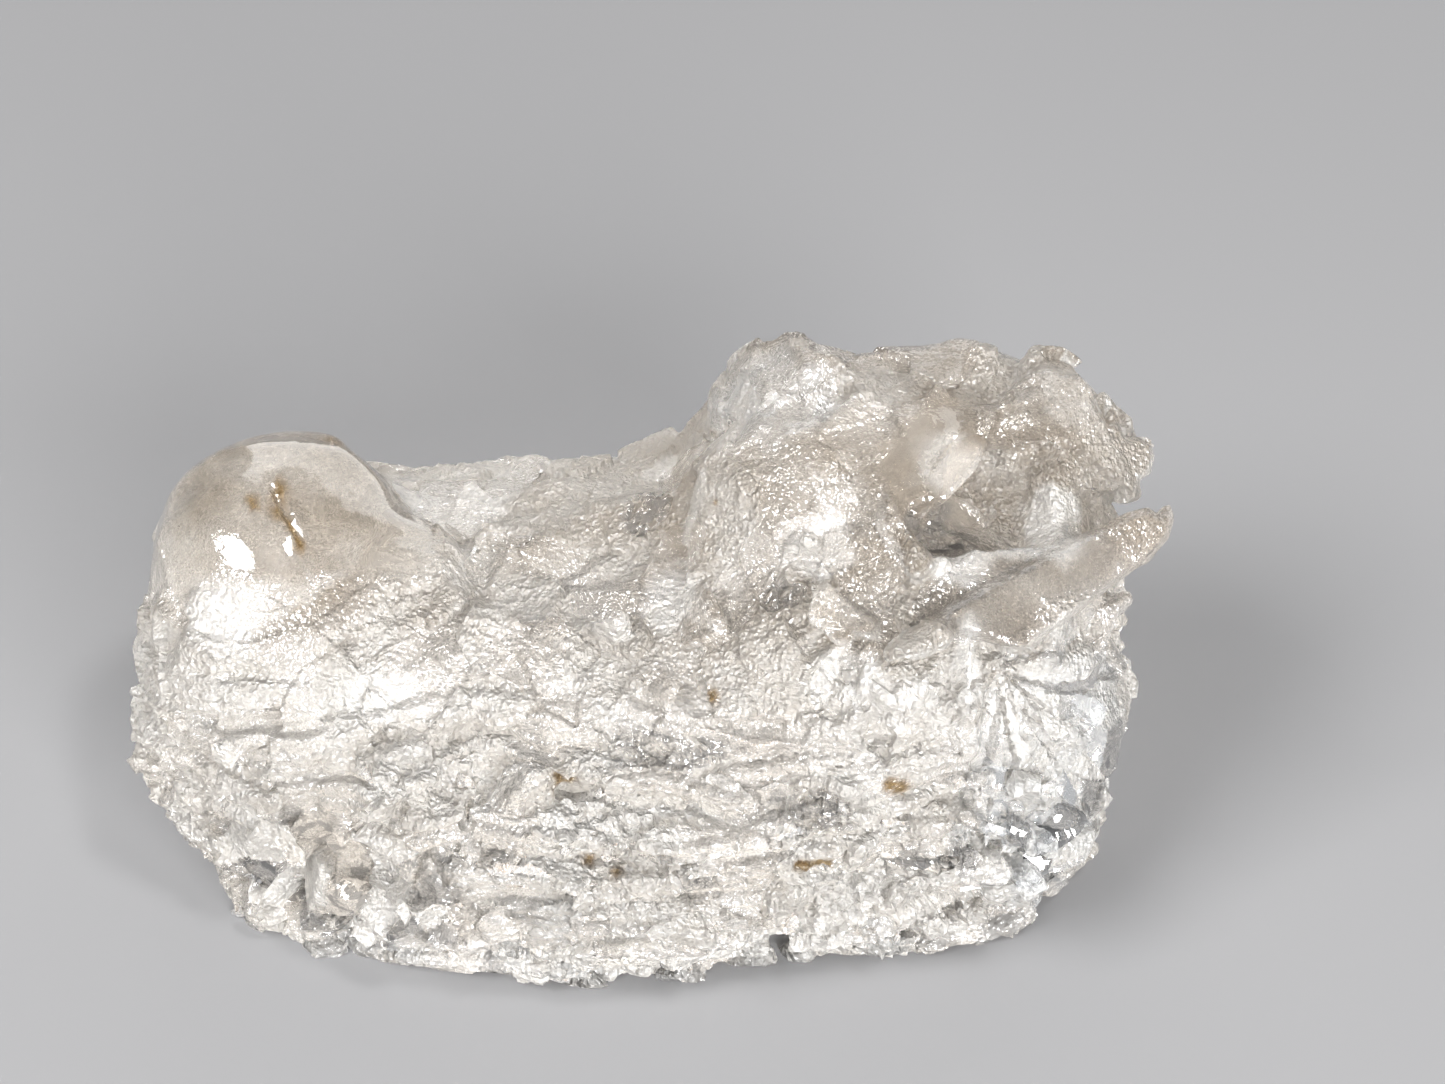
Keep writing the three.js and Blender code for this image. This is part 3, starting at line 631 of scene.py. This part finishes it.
patchy = patches(start)
calm = smoothstep(start[:, 2] + 2 * wobble(start, 3.0, 24), 6.5, 9.5)
rough_here = etched * (1 - 0.97 * bold) * (1 - 0.9 * crisp)
rough_here = rough_here * (1 - 0.8 * plates) * (1 - 0.7 * tufts)
rough_here *= 1 - np.maximum(0.6 * calm, 0.75 * foot)
crinkle(skin, rough_here, patchy)
chips = rough_here * (0.15 + 0.85 * patchy)
facet(skin, cell=0.45, tip=0.28, limit=0.07, strength=chips, seed=6, layout=upright)
facet(skin, cell=0.3, tip=0.3, limit=0.045, strength=rough_here * patchy, seed=8, layout=upright)
print("crinkle:", round(float(np.mean(patchy * rough_here)) * 100), "% of full strength on average")

# %% [markdown]
# ## The crack in the dome
# An old crack cuts into the glassy dome. It is a narrow groove along a bent line of three points,
# which are first moved onto the skin itself.

# %% Crack
CRACK = [(-10.9, 0.7, 12.5), (-10.55, -0.14, 12.3), (-10.0, -1.0, 11.7)]
CRACK_WIDTH = 0.2
CRACK_DEPTH = 0.2


def distance_to(points, surface, start, end):
    """Distance in mm to the line between two spots, which are moved onto the surface first."""
    start, end = (np.array(surface.find_nearest(Vector(p) * MM)[0]) / MM for p in (start, end))
    along = end - start
    share = np.clip((points - start) @ along / max(along @ along, 1e-9), 0, 1)
    return np.linalg.norm(points - start - share[:, None] * along, axis=1)


carved, surface = points_of(skin), surface_of(crystal)
lines = [distance_to(carved, surface, start, end) for start, end in zip(CRACK, CRACK[1:])]
groove = np.min(lines, axis=0) + 0.05 * wobble(carved, 0.3, 61)
push(skin, -CRACK_DEPTH * (1 - smoothstep(groove, 0.0, CRACK_WIDTH)))
print("crack:", CRACK_DEPTH, "mm deep")

# %% [markdown]
# ## Fewer, flatter faces
# The skin now has far more points than it needs on its flat parts. Collapsing them leaves large
# triangles where it is flat and small ones where it is crinkled, and each triangle is a little
# facet of its own, which is what foil looks like. It also keeps the file a sensible size. The
# skin then holds a few tiny loose bubbles, so only its largest shell stays, and no point may lie
# outside the solid's box.

# %% Decimate
MOST_FACES = 194000


def thin_out(piece, most):
    baked(piece, piece.modifiers.new("triangles", "TRIANGULATE"))
    modifier = piece.modifiers.new("fewer faces", "DECIMATE")
    modifier.ratio = most / len(piece.data.polygons)
    baked(piece, modifier)


def shell_numbers(shell):
    """Numbers the points of a mesh by the loose shell that each one belongs to."""
    number = np.full(len(shell.verts), -1)
    for first in shell.verts:
        if number[first.index] >= 0:
            continue
        number[first.index] = number.max() + 1
        waiting = [first]
        while waiting:
            vert = waiting.pop()
            for other in (edge.other_vert(vert) for edge in vert.link_edges):
                if number[other.index] < 0:
                    number[other.index] = number[first.index]
                    waiting.append(other)
    return number


def keep_largest_shell(mesh):
    shell = bmesh.new()
    shell.from_mesh(mesh)
    number = shell_numbers(shell)
    largest = np.bincount(number).argmax()
    bubbles = [vert for vert in shell.verts if number[vert.index] != largest]
    bmesh.ops.delete(shell, geom=bubbles, context="VERTS")
    shell.to_mesh(mesh)
    shell.free()
    return number.max()


thin_out(crystal, MOST_FACES)
skin = crystal.data
print("bubbles taken out:", keep_largest_shell(skin))
low, high = (np.array(corner) / MM for corner in SOLID_BOX)
set_points(skin, np.clip(points_of(skin), low, high))
print("skin:", len(skin.polygons), "triangles")

# %% [markdown]
# ## Haze, painted highlights, painted shade and rust
# These are the numbers that the finish reads. Haze follows the etching, and each bold facet,
# blade and lying plate has its own: some are frosted white and some are clear. A few frosted
# places are also made white as painted highlights. The tops and the places where we look deep
# into the crystal get painted shade in brown, and some bold facets a real brown tone. The pocket,
# some hollows and the clear facets get painted shade in dark grey. Water has left rust in a few
# pits and in the crack in the dome.

# %% Frosted places with painted highlights, and spots of painted shade
# Frosted places, whose white also stands for painted highlights: bright light on the foot, the
# lower left of the dome and the faces listed below.
FROST_AND_HIGHLIGHT_PLACES = [
    ((11.0, -1.9, 12.8), (2.4, 1.1, 0.9)),  # face between the pocket and the fin
    ((11.7, -0.6, 12.3), (1.7, 1.2, 0.9)),
    ((9.2, -3.1, 12.5), (1.0, 0.8, 0.6)),
    ((5.1, -1.9, 12.3), (1.1, 1.2, 0.9)),  # tuft under the tower
    ((8.1, -5.8, 9.7), (1.7, 1.0, 0.8)),  # below the long ledge
    ((0.8, -1.8, 10.2), (0.8, 1.2, 1.3)),  # upright face in the middle
    ((6.0, -5.3, 10.0), (1.4, 1.0, 1.0)),
    ((11.0, -5.4, 8.6), (1.4, 1.2, 1.3)),  # heart of the fan
    ((-12.2, -2.6, 10.1), (1.2, 1.4, 1.1)),  # lower left of the dome
    ((-7.6, -4.2, 8.4), (1.3, 1.2, 0.6)),  # under the dome
    ((-6.0, 3.6, 9.6), (2.4, 1.3, 0.9)),  # rim beside the dome
    ((0.0, -7.6, 1.4), (12.5, 2.0, 1.3)),  # foot
    ((9.3, -5.4, 10.2), (0.45, 0.8, 2.2)),  # needle
]
# Painted shade: dark grey spots in the pocket, in hollows and between the teeth, where light
# through the clear crystal finds shade.
SHADE_SPOT_PLACES = [
    ((8.5, -1.2, 12.2), (1.4, 1.2, 0.9)),  # pocket
    ((10.7, 0.4, 12.9), (0.9, 0.9, 0.5)),  # beside the leaf
    ((8.2, -4.8, 12.0), (0.7, 0.6, 0.5)),  # root of the fin
    ((0.1, 1.6, 11.0), (0.8, 0.9, 0.7)),  # foot of the tower
    ((4.2, -3.1, 11.4), (0.9, 0.6, 0.5)),
    ((10.9, -5.8, 6.8), (0.9, 0.6, 0.4)),
    ((9.2, -7.9, 5.4), (0.6, 0.6, 0.5)),
    ((4.9, -7.2, 6.7), (1.4, 0.8, 0.7)),  # between the teeth, here and below
    ((1.0, -6.2, 8.2), (2.4, 0.9, 0.5)),
    ((1.7, -8.0, 4.4), (0.8, 0.7, 0.5)),
    ((0.4, -8.0, 5.8), (0.9, 0.7, 0.3)),
]
COOL_PLACES = [((4.0, 3.0, 13.6), (2.4, 2.4, 1.8))]  # left of the tower; the fan is cool too
# Painted shade, brownish: the top of the dome and the parts round the pocket and the fin.
SHADED_PLACES = [((-10.2, 2.6, 11.6), (4.6, 3.6, 2.4)), ((11.0, -0.6, 12.8), (4.6, 3.4, 2.6))]

# %% Haze
where = points_of(skin)
patchy = patches(where)
ragged = 0.35 * wobble(where, 0.9, 51)
frost_and_highlight_here, shade_spots = near(where, FROST_AND_HIGHLIGHT_PLACES, ragged), near(where, SHADE_SPOT_PLACES, ragged)
look = read_values(skin, "look")
teeth = 1 - smoothstep(np.abs(wobble(where * (1, 1, 0.22), 0.3, 52)), 0.05, 0.2)
shade_spots = shade_spots * (1 - teeth)
on_facets = near(where, BOLD_FACETS + FAN + PLATES)
bold = near(where, BOLD_FACETS)
plates = near(where, PLATES)
clear_facets = on_facets * (1 - smoothstep(look - 0.1 * np.maximum(bold, plates), 0.14, 0.18))
white_facets = on_facets * smoothstep(look, 0.6, 0.66)
haze = etching(where) * (0.45 + 0.55 * patchy)
haze += on_facets * (smoothstep(look, 0.5, 0.6) - haze)
haze = np.maximum(haze, frost_and_highlight_here * (0.5 + 0.5 * patchy))
haze *= 1 - 0.9 * np.maximum(shade_spots, near(where, FIN_WALL))
write_values(skin, "haze", haze)
# Frosting, partly a painted highlight, whitens these places and gives them a coat.
frost_and_highlight = frost_and_highlight_here * (0.7 + 0.3 * patchy) * (1 - shade_spots)
frost_and_highlight *= 1 - 0.7 * near(where, TUFTS) * (1 - smoothstep(look, 0.3, 0.4))
write_values(skin, "frost_and_highlight", np.maximum(frost_and_highlight, 0.6 * white_facets))
print("haze:", round(float(haze.mean()), 2), "on average")

# %% Painted shade
facing = np.array([exact.find_nearest(Vector(p) * MM)[1] for p in where])
# Painted shade: faces high up that look upwards are darkened, as light through them comes from the
# shaded floor.
shade_on_top = 0.9 * smoothstep(facing[:, 2], 0.2, 0.85) * smoothstep(where[:, 2], 8.3, 11.2)
shade_and_brown = np.maximum(near(where, SHADED_PLACES + FIN_WALL), shade_on_top)
shade_and_brown *= 0.92 + 0.7 * wobble(where, 2.0, 27)
# A real brown tone on some of the bold facets, joined to the painted shade.
brown_facets = 0.42 * bold * smoothstep(look, 0.26, 0.3) * (1 - smoothstep(look, 0.46, 0.5))
shade_and_brown = np.maximum(shade_and_brown, brown_facets)
shade_and_brown *= (1 - frost_and_highlight_here) * (1 - near(where, LEAF)) * (1 - 0.5 * near(where, COOL_PLACES))
write_values(skin, "shade_and_brown", np.clip(shade_and_brown, 0, 1))
write_values(skin, "cool", near(where, COOL_PLACES + FAN, ragged))
write_values(skin, "layered", layered(where, facing) * etching(where) * (1 - on_facets))
# Painted shade in dark grey on the spots, on the fin's wall and on the clear facets.
painted_dark = np.maximum(0.68 * shade_spots, 0.35 * near(where, FIN_WALL))
write_values(skin, "painted_dark", np.maximum(painted_dark, 0.8 * clear_facets))

# %% Rust
RUST_STAINS = [  # from, to, radius in mm
    ((-2.35, -6.0, 7.1), (-2.35, -6.0, 7.1), 0.5),
    ((-9.6, 3.8, 11.7), (-9.6, 3.8, 11.7), 0.4),
    (CRACK[0], CRACK[1], 0.23),
    (CRACK[1], CRACK[2], 0.19),
    ((-11.55, 0.15, 12.4), (-11.4, -0.1, 12.4), 0.22),
    ((2.05, -5.24, 9.36), (2.05, -5.24, 9.36), 0.26),
    ((-1.6, -7.6, 5.2), (-1.6, -7.6, 5.2), 0.28),
    ((-0.75, -8.0, 5.0), (-0.75, -8.0, 5.0), 0.28),
    ((7.4, -6.9, 7.4), (7.1, -6.9, 7.6), 0.27),
    ((4.5, -7.7, 5.0), (5.3, -7.7, 5.0), 0.28),
    ((10.5, -6.6, 3.8), (10.5, -6.6, 3.8), 0.4),
    ((2.13, -0.03, 12.37), (2.13, -0.03, 12.37), 0.12),
]


def rust(points, surface):
    """1 on the stains, 0 away from them."""
    stained = np.zeros(len(points))
    ragged = 0.4 * wobble(points, 0.35, 31)
    for start, end, radius in RUST_STAINS:
        distance = distance_to(points, surface, start, end) / radius
        stained = np.maximum(stained, 1 - smoothstep(distance + ragged, 0.4, 1.3))
    return stained


write_values(skin, "iron", rust(where, surface_of(crystal)))
print("rust stains:", len(RUST_STAINS))

# %% [markdown]
# ## Joining the frame
# Edges sharper than a set angle stay sharp, so the foil glitters and the dome doesn't show its
# triangles. The finished skin then rides on the crystal's body and stands for its solid.

# %% Shading and ride
SHARP = 14  # degrees
skin.materials.clear()
skin.materials.append(CLEAR_BERYL)
skin.shade_smooth()
skin.set_sharp_from_angle(angle=math.radians(SHARP))
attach(crystal, "root")
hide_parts("goshenite_crystal")
print("rides on root:", crystal.name)

# %% [markdown]
# ## Floor
# A plain pale floor, large enough to fill the view from any side. A clear crystal shows what
# lies under it, so the floor is a mid grey in itself and only the light makes it pale.

# %% Floor
FLOOR_SIDE = 1.5  # m from the middle to an edge
FLOOR_GREY = (0.16, 0.16, 0.163, 1)


def floor():
    corners = [(x * FLOOR_SIDE, y * FLOOR_SIDE, 0) for x, y in ((-1, -1), (1, -1), (1, 1), (-1, 1))]
    mesh = bpy.data.meshes.new("floor")
    mesh.from_pydata(corners, [], [(0, 1, 2, 3)])
    plane = bpy.data.objects.new("floor", mesh)
    bpy.context.scene.collection.objects.link(plane)
    material = bpy.data.materials.new("pale_floor")
    material.use_nodes = True
    finish = material.node_tree.nodes["Principled BSDF"].inputs
    finish["Base Color"].default_value = FLOOR_GREY
    finish["Roughness"].default_value = 0.9
    finish["Specular IOR Level"].default_value = 0.1
    mesh.materials.append(material)


floor()
print("floor:", 2 * FLOOR_SIDE, "m across")

# %% [markdown]
# ## Camera
# A long lens looks down at the front of the crystal from 38 degrees, so near and far parts keep
# almost the same size. The aim is set off along the picture's own right and up directions.

# %% Camera
ELEVATION = math.radians(38)
LENS, SENSOR = 70.0, 36.0
FRAME_WIDTH = 44.38 * MM
DISTANCE = LENS / SENSOR * FRAME_WIDTH
backwards = Vector((0, -math.cos(ELEVATION), math.sin(ELEVATION)))
upwards = Vector((0, math.sin(ELEVATION), math.cos(ELEVATION)))
aim = Vector((2.35 * MM, 0, 0)) + upwards * 8.58 * MM + backwards * 4 * MM
camera = bpy.data.objects.new("camera", bpy.data.cameras.new("camera"))
camera.data.lens = LENS
camera.data.sensor_width = SENSOR
camera.data.clip_start = 0.005
camera.location = aim + backwards * DISTANCE
camera.rotation_euler = (-backwards).to_track_quat("-Z", "Y").to_euler()
bpy.context.scene.collection.objects.link(camera)
bpy.context.scene.camera = camera
print("camera:", round(DISTANCE / MM), "mm away")

# %% [markdown]
# ## Light
# A clear crystal is lit mostly by what is behind it, so a large soft light stands at the back,
# where its light is bent down through the lower front. One in front shows the relief, a window
# at the upper left gives the dome its highlight, and a small lamp makes the facets sparkle.

# %% Lights
AIR = (1.0, 0.99, 0.97, 1)
BOUNCES = 7  # light crosses many faces inside a clear crystal


def softbox(name, at, power, size):
    """A soft square light that faces the crystal, in watts and metres."""
    light = bpy.data.lights.new(name, "AREA")
    light.energy = power
    light.size = size
    lamp = bpy.data.objects.new(name, light)
    lamp.location = at
    lamp.rotation_euler = (-Vector(at)).to_track_quat("-Z", "Y").to_euler()
    bpy.context.scene.collection.objects.link(lamp)


softbox("window", (-0.20, -0.15, 0.26), 2.5, 0.17)
softbox("front", (0.14, -0.34, 0.10), 5.8, 0.22)
softbox("back", (0.06, 0.42, 0.14), 1.8, 0.50)
softbox("lamp", (0.13, -0.10, 0.33), 0.7, 0.05)
world = bpy.data.worlds.new("studio")
world.use_nodes = True
world.node_tree.nodes["Background"].inputs["Color"].default_value = AIR
world.node_tree.nodes["Background"].inputs["Strength"].default_value = 0.34
bpy.context.scene.world = world
bpy.context.scene.view_settings.view_transform = "Standard"
bpy.context.scene.cycles.max_bounces = BOUNCES
bpy.context.scene.cycles.transmission_bounces = BOUNCES
print("lights:", len(bpy.data.lights))
